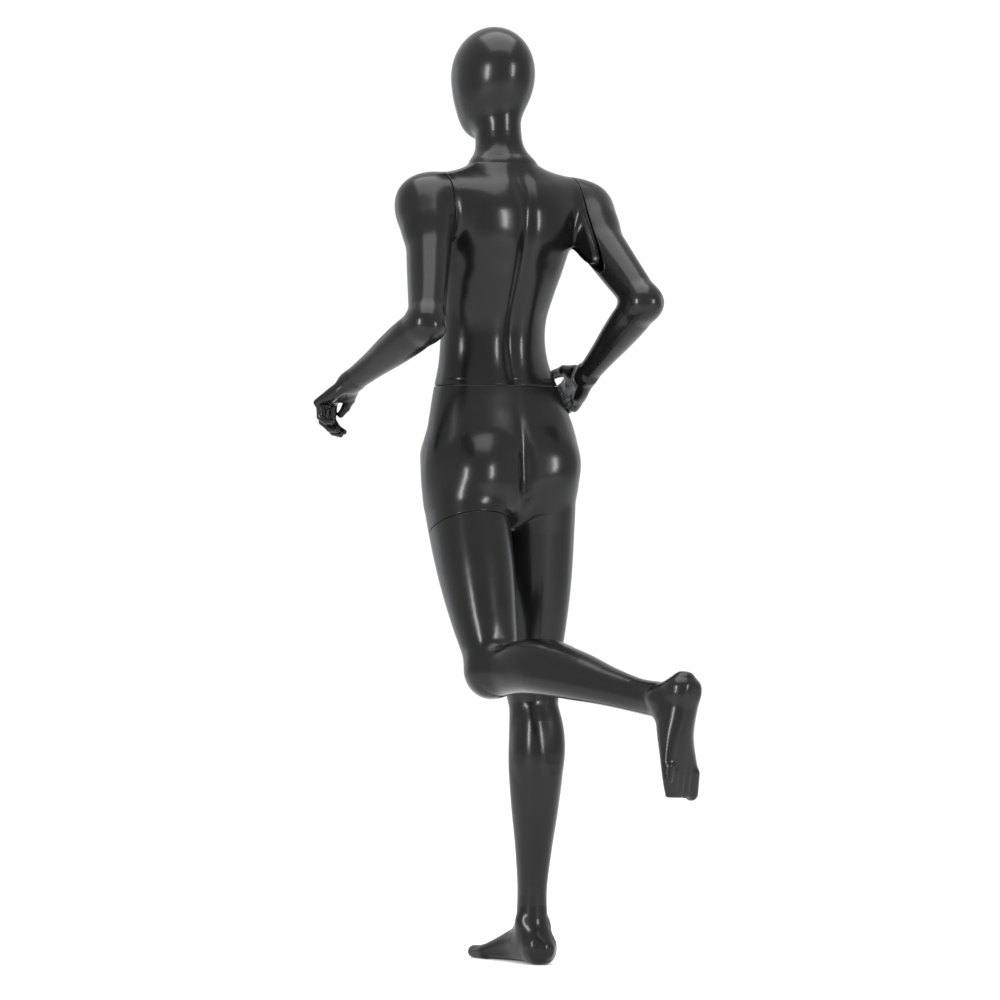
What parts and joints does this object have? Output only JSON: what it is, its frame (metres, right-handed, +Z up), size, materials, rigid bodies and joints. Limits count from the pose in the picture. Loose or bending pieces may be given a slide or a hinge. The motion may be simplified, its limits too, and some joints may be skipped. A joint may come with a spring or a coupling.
{
  "type": "full body mannequin",
  "caption": "Gloss black full body mannequin with a smooth egg head, standing on one leg, coming apart at waist, shoulders and one thigh.",
  "frame": {"origin": "mouth of the base rod socket in the sole of the right foot", "axes": "+Z up the body, the mannequin faces -Y, its left hand is on the +X side"},
  "size_m": [0.5985, 0.8932, 1.8786],
  "materials": {
    "gloss_black_shell": "high gloss black lacquer over a moulded glass fibre shell",
    "board": "fibre board sprayed black with the shell",
    "grey_fitting_plastic": "moulded, matt",
    "zinc_screw": "zinc plated",
    "magnet_nickel": "nickel plated",
    "dowel_wood": "beech, raw",
    "steel_fitting": "turned and brushed"
  },
  "bodies": {
    "lower": {"lower_body": "gloss_black_shell", "waist_deck_lower": "board", "waist_socket": "grey_fitting_plastic", "waist_socket_screws": "zinc_screw", "waist_dowels": "dowel_wood", "thigh_deck_upper": "board", "thigh_socket": "grey_fitting_plastic", "thigh_socket_screws": "zinc_screw", "thigh_strikes": "steel_fitting", "rod_tube": "steel_fitting", "rod_collar": "steel_fitting"},
    "upper": {"upper_body": "gloss_black_shell", "waist_deck_upper": "board", "waist_peg": "grey_fitting_plastic", "waist_peg_screws": "zinc_screw", "left_shoulder_deck": "board", "left_shoulder_plate": "steel_fitting", "left_shoulder_plate_screws": "zinc_screw", "right_shoulder_deck": "board", "right_shoulder_plate": "steel_fitting", "right_shoulder_plate_screws": "zinc_screw"},
    "left_leg": {"left_leg": "gloss_black_shell", "thigh_deck_lower": "board", "thigh_peg": "grey_fitting_plastic", "thigh_peg_screws": "zinc_screw", "thigh_magnets": "magnet_nickel"},
    "left_swivel": {"left_swivel": "steel_fitting", "left_swivel_washer": "steel_fitting", "left_swivel_nut": "steel_fitting"},
    "left_arm": {"left_arm": "gloss_black_shell", "left_arm_deck": "board", "left_arm_plate": "steel_fitting", "left_arm_plate_screws": "zinc_screw", "left_arm_magnets": "magnet_nickel"},
    "right_swivel": {"right_swivel": "steel_fitting", "right_swivel_washer": "steel_fitting", "right_swivel_nut": "steel_fitting"},
    "right_arm": {"right_arm": "gloss_black_shell", "right_arm_deck": "board", "right_arm_plate": "steel_fitting", "right_arm_plate_screws": "zinc_screw", "right_arm_magnets": "magnet_nickel"}
  },
  "joints": [
    {"name": "waist_lift", "type": "slide", "parent": "lower", "child": "upper", "axis": [0, 0, 1], "range_m": [0, 0.1]},
    {"name": "left_leg_release", "type": "slide", "parent": "lower", "child": "left_leg", "axis": [0.0585, 0.37, -0.9272], "range_m": [0, 0.06]},
    {"name": "left_shoulder_turn", "type": "hinge", "parent": "upper", "child": "left_swivel", "pos_m": [0.22, 0.02, 1.518], "axis": [-1, 0, 0], "range_deg": [-20, 60]},
    {"name": "left_arm_pull", "type": "slide", "parent": "left_swivel", "child": "left_arm", "axis": [1, 0, 0], "range_m": [0, 0.04]},
    {"name": "right_shoulder_turn", "type": "hinge", "parent": "upper", "child": "right_swivel", "pos_m": [-0.07, 0.02, 1.518], "axis": [-1, 0, 0], "range_deg": [0, 60]},
    {"name": "right_arm_pull", "type": "slide", "parent": "right_swivel", "child": "right_arm", "axis": [-1, 0, 0], "range_m": [0, 0.04]}
  ]
}
